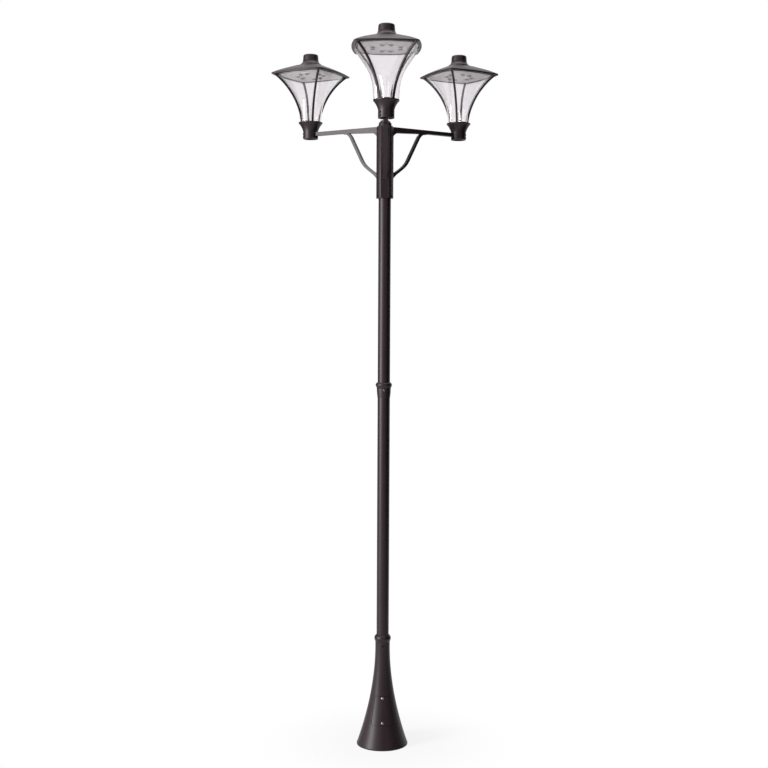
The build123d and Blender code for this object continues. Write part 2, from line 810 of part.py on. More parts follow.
# Cage: four ribs and the eave frame, one casting
with BuildPart() as cage:
    for turn in corner_angles:
        with BuildSketch(vertical_plane(turn)):
            with Locations((rib_centre.X, rib_centre_height)):
                Circle(rib_arc_radius + rib_depth / 2)
                Circle(rib_arc_radius - rib_depth / 2, mode=Mode.SUBTRACT)
            with Locations((rib_centre.X / 2, (collar_top + eave_bottom + rib_bury) / 2)):
                Rectangle(rib_centre.X, eave_bottom + rib_bury - collar_top, mode=Mode.INTERSECT)
        extrude(amount=rib_width / 2, both=True)
    with BuildSketch(Plane.XY.offset(eave_bottom)):
        add(lobed_outline(eave_half, eave_bulge, eave_corner))
        add(lobed_outline(eave_half - eave_band, eave_bulge, eave_corner), mode=Mode.SUBTRACT)
    extrude(amount=eave_thickness)
lantern["cage"] = cage.part

with BuildPart() as gasket:
    with BuildSketch(Plane.XY.offset(eave_top)):
        add(lobed_outline(gasket_half, eave_bulge, eave_corner))
        add(lobed_outline(gasket_half - gasket_width, eave_bulge, eave_corner), mode=Mode.SUBTRACT)
    extrude(amount=gasket_thickness)
lantern["gasket"] = gasket.part


# Roof: low hipped casting that runs up into a flared round stack
def roof_solid(drop):
    """Hipped roof as a solid, lowered by the given amount."""
    with BuildPart() as solid:
        for rise, set_back, bulge, corner in roof_levels:
            with BuildSketch(Plane.XY.offset(roof_bottom + rise - drop)):
                add(lobed_outline(eave_half - set_back, bulge, corner))
        loft()
    return solid.part


with BuildPart() as roof:
    add(roof_solid(0))
    stack_top = roof_bottom + roof_height
    with BuildSketch(Plane.XZ):
        with BuildLine():
            flare_foot = (flare_foot_radius, roof_bottom + flare_foot_height)
            flare_waist = (stack_radius + flare_waist_step, flare_foot[1] + flare_waist_rise)
            stack_foot = (stack_radius + stack_foot_step, roof_bottom + stack_foot_height)
            ThreePointArc(flare_foot, flare_waist, stack_foot)
            Polyline(
                stack_foot,
                (stack_radius, stack_top - stack_edge),
                (stack_radius - stack_edge_shoulder, stack_top - stack_edge_shoulder),
                (stack_radius - stack_edge, stack_top),
                (0, stack_top),
                (0, roof_bottom + roof_levels[-2][0]),
                (flare_foot_radius, roof_bottom + roof_levels[-2][0]),
                flare_foot,
            )
        make_face()
    revolve(axis=Axis.Z)
    add(roof_solid(roof_wall_drop), mode=Mode.SUBTRACT)
    with BuildSketch(Plane.XY.offset(roof_bottom + roof_levels[-2][0] - roof_wall_drop)):
        Circle(stack_radius - stack_wall)
    extrude(amount=roof_height - roof_levels[-2][0] - stack_wall + roof_wall_drop, mode=Mode.SUBTRACT)
    with BuildPart(mode=Mode.PRIVATE) as bosses:
        with BuildSketch(Plane.XY.offset(roof_bottom)):
            with PolarLocations(boss_reach, 4):
                Circle(boss_radius)
        extrude(amount=roof_height)
        add(roof_solid(roof_wall_drop / 2), mode=Mode.INTERSECT)
    add(bosses.part)
    with BuildSketch(Plane.XY.offset(tray_top + slip_gap)):
        with PolarLocations(boss_reach, 4):
            Circle(boss_radius)
    extrude(amount=roof_bottom - tray_top - slip_gap)
lantern["roof"] = roof.part

# Gear tray: white pan that closes the eave frame's opening
with BuildPart() as led_tray:
    with BuildSketch(Plane.XY.offset(tray_bottom)):
        add(lobed_outline(tray_half, eave_bulge, eave_corner))
    extrude(amount=tray_rim_height)
    with BuildSketch(Plane.XY.offset(tray_top)):
        add(lobed_outline(tray_half - tray_thickness, eave_bulge, eave_corner - tray_thickness))
    extrude(amount=tray_rim_height, mode=Mode.SUBTRACT)
lantern["led_tray"] = led_tray.part

with BuildPart() as led_modules:
    for turn in face_angles:
        upright = vertical_plane(turn, module_reach)
        place = (upright.origin.X, upright.origin.Y, tray_bottom)
        board = Plane(origin=place, x_dir=upright.x_dir, z_dir=(0, 0, -1))
        with BuildSketch(board):
            Rectangle(*module_size[:2])
        extrude(amount=module_size[2])
        with BuildSketch(board.offset(module_size[2])):
            with Locations((0, module_spacing / 2), (0, -module_spacing / 2)):
                RegularPolygon(radius=lens_radius, side_count=8)
        extrude(amount=lens_height, taper=lens_taper)
lantern["led_modules"] = led_modules.part

with BuildPart() as driver:
    with BuildSketch(Plane.XY.offset(tray_top)):
        Rectangle(*driver_size[:2])
    extrude(amount=driver_size[2])
lantern["driver"] = driver.part

for side, angle in arm_angles.items():
    place = vertical_plane(angle, arm_reach).origin
    for name, piece in lantern.items():
        placed = piece.moved(Location((place.X, place.Y, 0), (0, 0, angle + 90)))
        save(placed, f"{side}_{name}")
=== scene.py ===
"""Garden lamp post with three lanterns, dressed for rendering.

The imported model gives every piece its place. Lengths are metres, +Z is up, the origin is on the
pole's axis at ground level, and the front arm and the access door face -Y. Each lantern's pieces
are made once round their own upright axis, with -Y pointing away from the post, and then turned
and moved to the three arms.
"""

from math import atan2, cos, pi, prod, radians, sin, sqrt

import bmesh
import bpy
from mathutils import Matrix, Vector


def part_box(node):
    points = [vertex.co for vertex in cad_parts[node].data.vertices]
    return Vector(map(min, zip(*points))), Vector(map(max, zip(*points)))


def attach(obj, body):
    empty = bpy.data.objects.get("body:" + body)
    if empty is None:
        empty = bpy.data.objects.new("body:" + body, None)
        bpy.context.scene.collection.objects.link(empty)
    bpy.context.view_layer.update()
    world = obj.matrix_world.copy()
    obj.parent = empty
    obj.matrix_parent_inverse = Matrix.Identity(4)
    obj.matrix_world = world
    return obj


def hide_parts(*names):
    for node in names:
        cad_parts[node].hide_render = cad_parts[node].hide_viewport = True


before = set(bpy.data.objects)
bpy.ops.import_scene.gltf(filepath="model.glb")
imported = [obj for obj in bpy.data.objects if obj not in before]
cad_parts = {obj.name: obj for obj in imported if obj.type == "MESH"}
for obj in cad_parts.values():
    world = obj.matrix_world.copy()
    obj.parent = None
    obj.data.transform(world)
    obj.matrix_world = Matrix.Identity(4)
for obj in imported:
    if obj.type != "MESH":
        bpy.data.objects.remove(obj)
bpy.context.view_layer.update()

# ------------------------------------------------------------------ camera
# The photograph is taken from the front at standing height, a little left of the post. The image
# is square, 768 by 768, so the sensor's width is also its height.
camera_place = (-0.0658, -6.0, 2.0638)
camera_pitch_down = 0.0479
camera_turn_right = 0.0111
camera_roll = 0.0049
camera_lens = 57.73
camera_sensor = 36.0

camera = bpy.data.objects.new("camera", bpy.data.cameras.new("camera"))
camera.data.lens = camera_lens
camera.data.sensor_width = camera_sensor
camera.matrix_world = (
    Matrix.Translation(camera_place)
    @ Matrix.Rotation(-camera_turn_right, 4, "Z")
    @ Matrix.Rotation(pi / 2 - camera_pitch_down, 4, "X")
    @ Matrix.Rotation(camera_roll, 4, "Z")
)
bpy.context.scene.collection.objects.link(camera)
bpy.context.scene.camera = camera
bpy.context.scene.view_settings.view_transform = "Standard"


# ------------------------------------------------------------------ studio
# White paper floor and a plain white room. One tall softbox stands front left, a weak fill front
# right and a bank overhead, and three dark flags keep the post's front and both its edges deep.
def linear(hex_colour):
    """Turn an sRGB hex colour such as "#2b2523" into linear red, green, blue and alpha."""
    channels = [int(hex_colour[start:start + 2], 16) / 255 for start in (1, 3, 5)]
    return (*[c / 12.92 if c <= 0.04045 else ((c + 0.055) / 1.055) ** 2.4 for c in channels], 1.0)


def add_node(tree, kind, inputs=(), **settings):
    """Add a shader node, set its properties, then fill or link its inputs by name or number."""
    node = tree.nodes.new("ShaderNode" + kind)
    for name, value in settings.items():
        setattr(node, name, value)
    for name, value in dict(inputs).items():
        if isinstance(value, bpy.types.NodeSocket):
            tree.links.new(value, node.inputs[name])
        else:
            node.inputs[name].default_value = value
    return node


def seen_directly(tree):
    """1 for rays from the camera, off a glossy surface or through a pane; 0 for light on things."""
    path = add_node(tree, "LightPath").outputs
    either = add_node(tree, "Math", {0: path["Is Camera Ray"], 1: path["Is Glossy Ray"]}, operation="MAXIMUM")
    every = {0: either.outputs[0], 1: path["Is Transmission Ray"]}
    return add_node(tree, "Math", every, operation="MAXIMUM").outputs[0]


def soft_lamp(name, place, size, power, aim_height=1.7):
    """Rectangular softbox that faces the post."""
    lamp = bpy.data.objects.new(name, bpy.data.lights.new(name, "AREA"))
    lamp.data.shape = "RECTANGLE"
    lamp.data.size, lamp.data.size_y = size
    lamp.data.energy = power
    aim = Vector((0, 0, aim_height)) - Vector(place)
    lamp.matrix_world = Matrix.Translation(place) @ aim.to_track_quat("-Z", "Y").to_matrix().to_4x4()
    bpy.context.scene.collection.objects.link(lamp)


def stage_sheet(name, size, matrix, material):
    """Flat sheet of the studio, such as the floor or a flag."""
    bm = bmesh.new()
    bmesh.ops.create_grid(bm, x_segments=1, y_segments=1, size=0.5)
    bmesh.ops.scale(bm, vec=(*size, 1), verts=bm.verts[:])
    bmesh.ops.transform(bm, matrix=matrix, verts=bm.verts[:])
    sheet = bpy.data.objects.new(name, bpy.data.meshes.new(name))
    bm.to_mesh(sheet.data)
    bm.free()
    sheet.data.materials.append(material)
    bpy.context.scene.collection.objects.link(sheet)
    return sheet


# Plain white room: white wherever it is seen, though only a faint share of it lights things.
room_light = 0.16
world = bpy.data.worlds.new("white_room")
world.use_nodes = True
world.node_tree.nodes.clear()
room = add_node(world.node_tree, "Mix", {0: seen_directly(world.node_tree), 2: room_light, 3: 1.0})
sky = add_node(world.node_tree, "Background", {"Color": (1, 1, 1, 1), "Strength": room.outputs[0]})
add_node(world.node_tree, "OutputWorld", {"Surface": sky.outputs[0]})
bpy.context.scene.world = world

# Matt white paper; only close to the post is its own shade, and so the soft shadow, let through.
floor_size = 60.0
shadow_share = 0.16
shadow_start = 0.1
shadow_reach = 0.7
paper = bpy.data.materials.new("white_paper_floor")
paper.use_nodes = True
tree = paper.node_tree
tree.nodes.clear()
reach = add_node(tree, "VectorMath", {0: add_node(tree, "TexCoord").outputs["Object"]}, operation="LENGTH")
near_to_far = {
    "Value": reach.outputs["Value"],
    "From Min": shadow_start,
    "From Max": shadow_reach,
    "To Min": 1 - shadow_share,
    "To Max": 1.0,
}
bare = add_node(tree, "MapRange", near_to_far, interpolation_type="SMOOTHSTEP")
lit = add_node(tree, "Math", {0: bare.outputs[0], 1: seen_directly(tree)}, operation="MULTIPLY")
matt = add_node(tree, "BsdfDiffuse", {"Color": linear("#e8e8e8")})
white = add_node(tree, "Emission", {"Color": (1, 1, 1, 1), "Strength": 1.0})
both = add_node(tree, "MixShader", {0: lit.outputs[0], 1: matt.outputs[0], 2: white.outputs[0]})
add_node(tree, "OutputMaterial", {"Surface": both.outputs[0]})
stage_sheet("floor", (floor_size, floor_size), Matrix(), paper)

# Black felt flags, out of the camera's sight but not out of the coat's sheen.
mm = 0.001
felt_nap = 2.5 * mm
felt = bpy.data.materials.new("black_felt_flag")
felt.use_nodes = True
tree = felt.node_tree
tree.nodes.clear()
here = add_node(tree, "TexCoord").outputs["Object"]
nap = add_node(tree, "TexNoise", {"Vector": here, "Scale": 1 / felt_nap})
shade = add_node(tree, "ValToRGB", {0: nap.outputs["Fac"]})
shade.color_ramp.elements[0].color = linear("#0c0c0c")
shade.color_ramp.elements[1].color = linear("#141414")
black = add_node(tree, "BsdfDiffuse", {"Color": shade.outputs["Color"]})
add_node(tree, "OutputMaterial", {"Surface": black.outputs[0]})
for name, size, place, turn in (
    ("flag_right", (6.0, 5.0), (2.6, -1.2, 2.4), Matrix.Rotation(radians(-90), 4, "Y")),
    ("flag_front", (9.0, 6.0), (2.9, -8.0, 2.6), Matrix.Rotation(radians(90), 4, "X")),
    ("flag_left_behind", (6.0, 5.0), (-2.8, 3.4, 2.4), Matrix.Rotation(radians(90), 4, "Y")),
):
    flag = stage_sheet(name, size, Matrix.Translation(place) @ turn, felt)
    flag.visible_camera = False
    flag.visible_transmission = False
    flag.visible_shadow = False

soft_lamp("softbox_left", place=(-5.2, -2.8, 2.6), size=(1.6, 4.0), power=520.0)
soft_lamp("fill_right", place=(3.6, -5.4, 3.4), size=(2.4, 2.0), power=30.0, aim_height=3.0)
soft_lamp("bank_above", place=(0.0, 0.0, 6.5), size=(3.0, 3.0), power=120.0)


# ------------------------------------------------------------------ foundation flange
# Flame-cut steel plate with four gussets, hot-dip galvanised. It is welded to the pole's foot and
# bolted down to the foundation, out of sight under the base cover.
def start_finish(name, **surface):
    """A material with one Principled shader; its constants go straight on its sockets."""
    material = bpy.data.materials.new(name)
    material.use_nodes = True
    tree = material.node_tree
    tree.nodes.clear()
    shader = add_node(tree, "BsdfPrincipled")
    for socket, value in surface.items():
        shader.inputs[socket.replace("_", " ")].default_value = value
    add_node(tree, "OutputMaterial", {"Surface": shader.outputs[0]})
    return material, tree, shader, add_node(tree, "TexCoord").outputs["Object"]


def vary(tree, shader, pattern, colours, roughness):
    """Let a pattern from 0 to 1 run the shader between two colours and two roughnesses."""
    tone = add_node(tree, "ValToRGB", {0: pattern})
    for stop, colour in zip(tone.color_ramp.elements, colours):
        stop.color = linear(colour)
    tree.links.new(tone.outputs["Color"], shader.inputs["Base Color"])
    rub = add_node(tree, "MapRange", {"Value": pattern, "To Min": roughness[0], "To Max": roughness[1]})
    tree.links.new(rub.outputs[0], shader.inputs["Roughness"])


def raise_grain(tree, shader, pattern, height, strength):
    """Stand a pattern from 0 to 1 out of the surface as fine relief."""
    relief = add_node(tree, "Bump", {"Height": pattern, "Strength": strength, "Distance": height})
    tree.links.new(relief.outputs["Normal"], shader.inputs["Normal"])


def dress(node, material):
    """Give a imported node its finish; its mesh stays as it is."""
    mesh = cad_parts[node].data
    mesh.materials.clear()
    mesh.materials.append(material)


# Hot-dip galvanised steel: grey zinc with crystals about 11 mm wide, each lighter or duller.
zinc_crystal = 11 * mm
galvanised, tree, shader, here = start_finish("hot_dip_galvanised_steel", Metallic=1.0)
spangle = add_node(tree, "TexVoronoi", {"Vector": here, "Scale": 1 / zinc_crystal}).outputs["Color"]
vary(tree, shader, spangle, colours=("#8f9396", "#b4b8ba"), roughness=(0.38, 0.6))
dress("base_flange", galvanised)

# ------------------------------------------------------------------ pole
# Two lengths of 60 mm steel tube, joined over an inner spigot under the coupling. The tube is
# powder coated in a satin brown-black; the spigot inside stays galvanised.

# Satin powder coat: a faint mottle over a hand's width, and an orange peel whose real 1.5 mm
# ripple is drawn 4 mm wide so that it shows.
mottle_width = 110 * mm
peel_width = 4 * mm
peel_height = 0.2 * mm
powder_coat, tree, shader, here = start_finish("satin_powder_coat", IOR=1.5, Specular_IOR_Level=0.3)
mottle = add_node(tree, "TexNoise", {"Vector": here, "Scale": 1 / mottle_width, "Detail": 3.0}).outputs["Fac"]
vary(tree, shader, mottle, colours=("#1f1417", "#291c20"), roughness=(0.38, 0.46))
peel = add_node(tree, "TexNoise", {"Vector": here, "Scale": 1 / peel_width, "Detail": 1.0}).outputs["Fac"]
raise_grain(tree, shader, peel, peel_height, strength=0.15)
for node in ("lower_pole", "upper_pole"):
    dress(node, powder_coat)
dress("joint_spigot", galvanised)

# ------------------------------------------------------------------ connection box
# Moulded light grey box on the pole behind the access door, with a screwed lid. The supply cable
# reaches it through the slot in the pole.

# Moulded plastic: a fine spark-eroded grain, drawn 1 mm wide.
spark_grain = 1 * mm
spark_depth = 0.1 * mm
box_plastic, tree, shader, here = start_finish("grey_moulded_plastic", IOR=1.46)
grain = add_node(tree, "TexNoise", {"Vector": here, "Scale": 1 / spark_grain, "Detail": 1.0}).outputs["Fac"]
vary(tree, shader, grain, colours=("#b9bcbd", "#c6c9ca"), roughness=(0.45, 0.6))
raise_grain(tree, shader, grain, spark_depth, strength=0.2)
for node in ("terminal_box", "terminal_lid"):
    dress(node, box_plastic)


# ------------------------------------------------------------------ base cover and its door
# Cast aluminium trumpet that slides down over the pole and hides the flange, with a curved access
# door in the front. Both have the pole's powder coat; the door lifts off once its screws are out.
smooth_limit = radians(30)
flat_limit = radians(0.5)
rounded_fold = radians(40)
merge_distance = 0.01 * mm


def make_piece(name, bm, material, body, slot, *nodes):
    """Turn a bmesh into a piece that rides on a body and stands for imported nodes."""
    for face in bm.faces:
        face.smooth = True
    for edge in bm.edges:
        edge.smooth = edge.calc_face_angle(0) < smooth_limit
    piece = bpy.data.objects.new(name, bpy.data.meshes.new(name))
    bm.to_mesh(piece.data)
    bm.free()
    piece.data.materials.append(material)
    bpy.context.scene.collection.objects.link(piece)
    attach(piece, body)
    if nodes:
        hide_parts(*nodes)
    return piece


def soften(name, node, material, body, slot, width):
    """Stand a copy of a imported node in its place, its corners rounded as casting leaves them."""
    bm = bmesh.new()
    bm.from_mesh(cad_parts[node].data)
    bmesh.ops.remove_doubles(bm, verts=bm.verts[:], dist=merge_distance)
    bmesh.ops.dissolve_limit(bm, angle_limit=flat_limit, verts=bm.verts[:], edges=bm.edges[:])
    piece = make_piece(name, bm, material, body, slot, node)
    rounding = piece.modifiers.new("rounded_edges", "BEVEL")
    rounding.width = width
    rounding.segments = 2
    rounding.limit_method = "ANGLE"
    rounding.angle_limit = rounded_fold


dress("base_cover", powder_coat)
dress("access_door", powder_coat)


# ------------------------------------------------------------------ door screws
# Two stainless socket screws with domed button heads hold the access door. Each has a 5 mm hexagon
# socket, and turns in its seat in the door.
def turned(profile, steps):
    """Spin a profile of (radius, height) points round the upright axis."""
    bm = bmesh.new()
    points = [bm.verts.new((radius, 0, height)) for radius, height in profile]
    edges = [bm.edges.new(pair) for pair in zip(points, points[1:])]
    full_turn = {"cent": (0, 0, 0), "axis": (0, 0, 1), "angle": 2 * pi, "steps": steps, "use_merge": True}
    bmesh.ops.spin(bm, geom=points + edges, **full_turn)
    bmesh.ops.remove_doubles(bm, verts=bm.verts[:], dist=merge_distance)
    bmesh.ops.recalc_face_normals(bm, faces=bm.faces[:])
    return bm


def socket_screw(profile, socket_radius, socket_depth, steps=24):
    """Turned screw whose open end is closed by a hexagon socket sunk into it."""
    bm = turned(profile, steps)
    mouth = [edge for edge in bm.edges if edge.is_boundary]
    mouth_level = Matrix.Translation((0, 0, profile[-1][1]))
    bmesh.ops.create_circle(bm, segments=6, radius=socket_radius, matrix=mouth_level)
    sides = [edge for edge in bm.edges if edge.is_wire]
    bmesh.ops.bridge_loops(bm, edges=mouth + sides)
    walls = bmesh.ops.extrude_edge_only(bm, edges=sides)["geom"]
    bottom = [item for item in walls if isinstance(item, bmesh.types.BMVert)]
    bmesh.ops.translate(bm, verts=bottom, vec=(0, 0, -socket_depth))
    bmesh.ops.edgeloop_fill(bm, edges=[edge for edge in bm.edges if edge.is_boundary])
    bmesh.ops.recalc_face_normals(bm, faces=bm.faces[:])
    return bm


def scattered(bm, places):
    """One bmesh with a copy of another at each place."""
    mesh = bpy.data.meshes.new("pattern")
    bm.to_mesh(mesh)
    bm.free()
    every = bmesh.new()
    for place in places:
        copy = mesh.copy()
        copy.transform(place)
        every.from_mesh(copy)
        bpy.data.meshes.remove(copy)
    bpy.data.meshes.remove(mesh)
    return every


def facing(angle, reach, height):
    """Place whose +Z points outward at the angle, for screws let into an upright wall."""
    outward = Matrix.Rotation(radians(angle), 4, "Z") @ Matrix.Translation((reach, 0, height))
    return outward @ Matrix.Rotation(pi / 2, 4, "Y")


# Bright stainless steel: turned, so faint rings about 1 mm apart break up the shine.
turning_rings = 1 * mm
stainless, tree, shader, here = start_finish("turned_stainless_steel", Metallic=1.0)
rings = add_node(tree, "TexNoise", {"Vector": here, "Scale": 1 / turning_rings, "Detail": 2.0}).outputs["Fac"]
vary(tree, shader, rings, colours=("#8c8a8b", "#acaaab"), roughness=(0.32, 0.46))

# A button head from its rim to its socket's mouth, in shares of the head's radius and height.
head_profile = ((1.0, 0.0), (0.98, 0.2), (0.88, 0.53), (0.72, 0.84), (0.55, 0.97), (0.47, 1.0))
head_radius = 7.0 * mm
head_height = 3.8 * mm
shank_radius = 4.0 * mm
door_socket_radius = 2.9 * mm
door_socket_depth = 2.2 * mm
for end in ("upper", "lower"):
    low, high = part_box(f"door_screw_{end}")
    tip = low.y + head_height - high.y
    shank = [(0, tip), (shank_radius, tip), (shank_radius, 0)]
    dome = [(head_radius * across, head_height * up) for across, up in head_profile]
    screw = socket_screw(shank + dome, door_socket_radius, door_socket_depth)
    seat = facing(-90, -low.y - head_height, (low.z + high.z) / 2)
    bmesh.ops.transform(screw, matrix=seat, verts=screw.verts[:])
    make_piece(f"door_button_screw_{end}", screw, stainless, f"{end}_screw", "stainless", f"door_screw_{end}")


# ------------------------------------------------------------------ set screws
# Headless M8 set screws with 4 mm hexagon sockets clamp the base cover, the coupling and the crown
# sleeve to the pole. The coupling's are left bright; the others are chemically blackened.
set_screw_radius = 4.0 * mm
set_screw_chamfer = 0.5 * mm
set_socket_radius = 2.3 * mm
set_socket_depth = 2.5 * mm

# Blackened stainless steel: the same turned screws with a thin black oxide that keeps some shine.
blackened, tree, shader, here = start_finish("blackened_stainless_steel", Metallic=1.0)
rings = add_node(tree, "TexNoise", {"Vector": here, "Scale": 1 / turning_rings, "Detail": 2.0}).outputs["Fac"]
vary(tree, shader, rings, colours=("#1b1919", "#2a2727"), roughness=(0.35, 0.5))


def set_screw(length):
    """Headless screw along +Z with its outer end at the origin."""
    r, edge = set_screw_radius, set_screw_chamfer
    profile = [(0, -length), (r, -length), (r, -edge), (r - edge, 0), (set_socket_radius + edge / 2, 0)]
    return socket_screw(profile, set_socket_radius, set_socket_depth)


# The screws reach in to the fittings' bore, which slips over 60 mm tube with a little play.
slip_radius = 30.3 * mm
for node, material, first_angle in (
    ("base_cover_screws", blackened, -90),
    ("coupling_screws", stainless, -90),
    ("sleeve_screws", blackened, 90),
):
    low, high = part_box(node)
    reach = high.y if first_angle > 0 else -low.y
    places = [facing(first_angle + turn * 120, reach, (low.z + high.z) / 2) for turn in range(3)]
    screws = scattered(set_screw(reach - slip_radius), places)
    make_piece(f"{node}_socketed", screws, material, "post", "stainless", node)

# ------------------------------------------------------------------ coupling, crown sleeve and cap
# Cast aluminium fittings in the same powder coat: the belled coupling over the pole's joint, the
# six-sided sleeve that carries the arms, and the domed cap that closes the pole.
coupling_rounding = 0.8 * mm
sleeve_rounding = 1.2 * mm
cap_rounding = 0.8 * mm
soften("pole_coupling", "coupling_collar", powder_coat, "post", "powder_coat", coupling_rounding)
soften("arm_sleeve", "crown_sleeve", powder_coat, "post", "powder_coat", sleeve_rounding)
soften("domed_cap", "post_cap", powder_coat, "post", "powder_coat", cap_rounding)

# ------------------------------------------------------------------ arms
# Three cast brackets at 120 degrees, each with a tapered top bar, a bent brace below it and an
# upright spigot at its end for a lantern. Their corners are well rounded by casting and coating.
arm_angles = {"front": -90, "right": 30, "left": 150}
arm_rounding = 1.5 * mm
for side in arm_angles:
    soften(f"{side}_bracket", f"arm_{side}", powder_coat, "post", "powder_coat", arm_rounding)

# ------------------------------------------------------------------ lantern collars
# Cast fitter with a flared lip that drops over the arm's spigot, and four blackened set screws
# that clamp it there. The closing plate in the diffuser's foot has the same coat.
lantern_places = {}
for side, angle in arm_angles.items():
    low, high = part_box(f"{side}_collar")
    middle = (low + high) / 2
    turn = Matrix.Rotation(radians(angle + 90), 4, "Z")
    lantern_places[side] = Matrix.Translation((middle.x, middle.y, 0)) @ turn

collar_radius = 37.0 * mm
collar_screw_rows = (9.0 * mm, 24.0 * mm)
collar_screw_angles = (-135, -45)
collar_screw_stand = 2.0 * mm
collar_screw_reach = collar_radius + collar_screw_stand
collar_rounding = 1.2 * mm
collar_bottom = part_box("front_collar")[0].z
for side, place in lantern_places.items():
    soften(f"{side}_fitter", f"{side}_collar", powder_coat, "post", "powder_coat", collar_rounding)
    seats = [
        place @ facing(angle, collar_screw_reach, collar_bottom + row)
        for angle in collar_screw_angles
        for row in collar_screw_rows
    ]
    screws = scattered(set_screw(collar_screw_reach - slip_radius), seats)
    make_piece(f"{side}_fitter_screws", screws, blackened, "post", "stainless", f"{side}_collar_screws")
    dress(f"{side}_base_plate", powder_coat)


# ------------------------------------------------------------------ diffusers
# Clear polycarbonate moulding, 3 mm thick and open at both ends: four bowed faces that swell up
# from the collar and meet in flats behind the ribs. It stands on the collar's lip in the cage.
def arc_points(half_chord, rise, steps):
    """Points (out, along) of an arc that bows out by the rise between two ends."""
    radius = (half_chord**2 + rise**2) / (2 * rise)
    spread = 2 * atan2(rise, half_chord)
    turns = [spread * (2 * step / steps - 1) for step in range(steps + 1)]
    return [(rise - radius + radius * cos(turn), radius * sin(turn)) for turn in turns]


def outline(bm, points, height):
    """A closed loop of edges through the points at one height."""
    verts = [bm.verts.new((*point, height)) for point in points]
    return [bm.edges.new((verts[n - 1], verts[n])) for n in range(len(verts))]


def skinned(bm, loops):
    """Bridge each loop of edges to the next, and the last to the first."""
    for low, high in zip(loops, loops[1:] + loops[:1]):
        bmesh.ops.bridge_loops(bm, edges=low + high)
    bmesh.ops.recalc_face_normals(bm, faces=bm.faces[:])


def turned_point(x, y, angle):
    """The point (x, y) turned round the upright axis by an angle."""
    return (x * cos(angle) - y * sin(angle), x * sin(angle) + y * cos(angle))


diffuser_foot, diffuser_rim = (corner.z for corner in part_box("front_diffuser"))
diffuser_height = diffuser_rim - diffuser_foot
diffuser_wall = 3.0 * mm
diffuser_levels = 34
face_steps = 18
# How far a face's middle is from the lantern's axis, at each measured height above the foot.
face_stations = {
    0.0: 57.5 * mm,
    55 * mm: 62 * mm,
    110 * mm: 75 * mm,
    170 * mm: 109.5 * mm,
    230 * mm: 145.5 * mm,
}
# The ribs' arc and section, which the moulding's corners follow with a small gap.
rib_arc_radius = 338.0 * mm
rib_centre_reach = 379.5 * mm
rib_centre_drop = 41.5 * mm
rib_width = 10.0 * mm
rib_depth = 9.0 * mm
rib_gap = 0.4 * mm


def face_reach(height):
    """Reach of a face's middle: the smooth curve through the measured stations."""
    return sum(
        reach * prod((height - other) / (station - other) for other in face_stations if other != station)
        for station, reach in face_stations.items()
    )


def diffuser_outline(height, inset):
    """One level of the moulding: four bowed faces, with a flat across each corner."""
    rib_back = rib_arc_radius + rib_depth / 2 + rib_gap
    flat_reach = rib_centre_reach - sqrt(rib_back**2 - (height + rib_centre_drop) ** 2) - inset
    flat_half = rib_width / 2 + rib_gap + inset / 2
    chord_reach, half_chord = turned_point(flat_reach, flat_half, -pi / 4)
    rise = face_reach(height) - inset - chord_reach
    face = [(chord_reach + out, along) for out, along in arc_points(-half_chord, rise, face_steps)]
    return [turned_point(*point, turn * pi / 2) for turn in range(4) for point in face]


# Clear polycarbonate: a film of dust and flow marks about 70 mm long, so the shine varies.
flow_mark = 70 * mm
flow_depth = 0.4 * mm
clear_moulding, tree, shader, here = start_finish("clear_polycarbonate", IOR=1.58, Transmission_Weight=1.0)
shader.inputs["Base Color"].default_value = linear("#f8f5f7")
film = add_node(tree, "TexNoise", {"Vector": here, "Scale": 1 / flow_mark, "Detail": 4.0}).outputs["Fac"]
haze = add_node(tree, "MapRange", {"Value": film, "To Min": 0.01, "To Max": 0.06})
tree.links.new(haze.outputs[0], shader.inputs["Roughness"])
raise_grain(tree, shader, film, flow_depth, strength=0.1)

heights = [diffuser_height * level / (diffuser_levels - 1) for level in range(diffuser_levels)]
for side, place in lantern_places.items():
    bm = bmesh.new()
    outside, inside = (
        [outline(bm, diffuser_outline(height, inset), diffuser_foot + height) for height in heights]
        for inset in (0, diffuser_wall)
    )
    skinned(bm, outside + inside[::-1])
    bmesh.ops.transform(bm, matrix=place, verts=bm.verts[:])
    make_piece(f"{side}_clear_cover", bm, clear_moulding, "post", "clear_diffuser", f"{side}_diffuser")

# ------------------------------------------------------------------ cages
# Cast frame round the diffuser: four ribs along one large arc, from the collar's lip up to the
# corners of the bowed square eave frame. The roof is screwed down on it over a rubber seal.
eave_half = 141.7 * mm
eave_bulge = 15.3 * mm
eave_corner = 6.3 * mm
eave_edge = 1.5 * mm
eave_band = 24.0 * mm
eave_thickness = 7.0 * mm
eave_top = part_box("front_cage")[1].z
eave_bottom = eave_top - eave_thickness
side_steps = 16
collar_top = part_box("front_collar")[1].z
rib_start, rib_end = radians(4), radians(58)
rib_edge = 2.0 * mm
rib_steps = 28
rib_bury = 3.0 * mm


def is_upright(edge):
    """Whether one end of an edge stands straight above the other."""
    return edge.verts[0].co.xy == edge.verts[1].co.xy


def bowed_square(half, bulge):
    """Square with bowed sides; its corners are rounded afterwards."""
    side_arc = [(half + out, along) for out, along in arc_points(half, bulge, side_steps)[:-1]]
    return [turned_point(*point, turn * pi / 2) for turn in range(4) for point in side_arc]


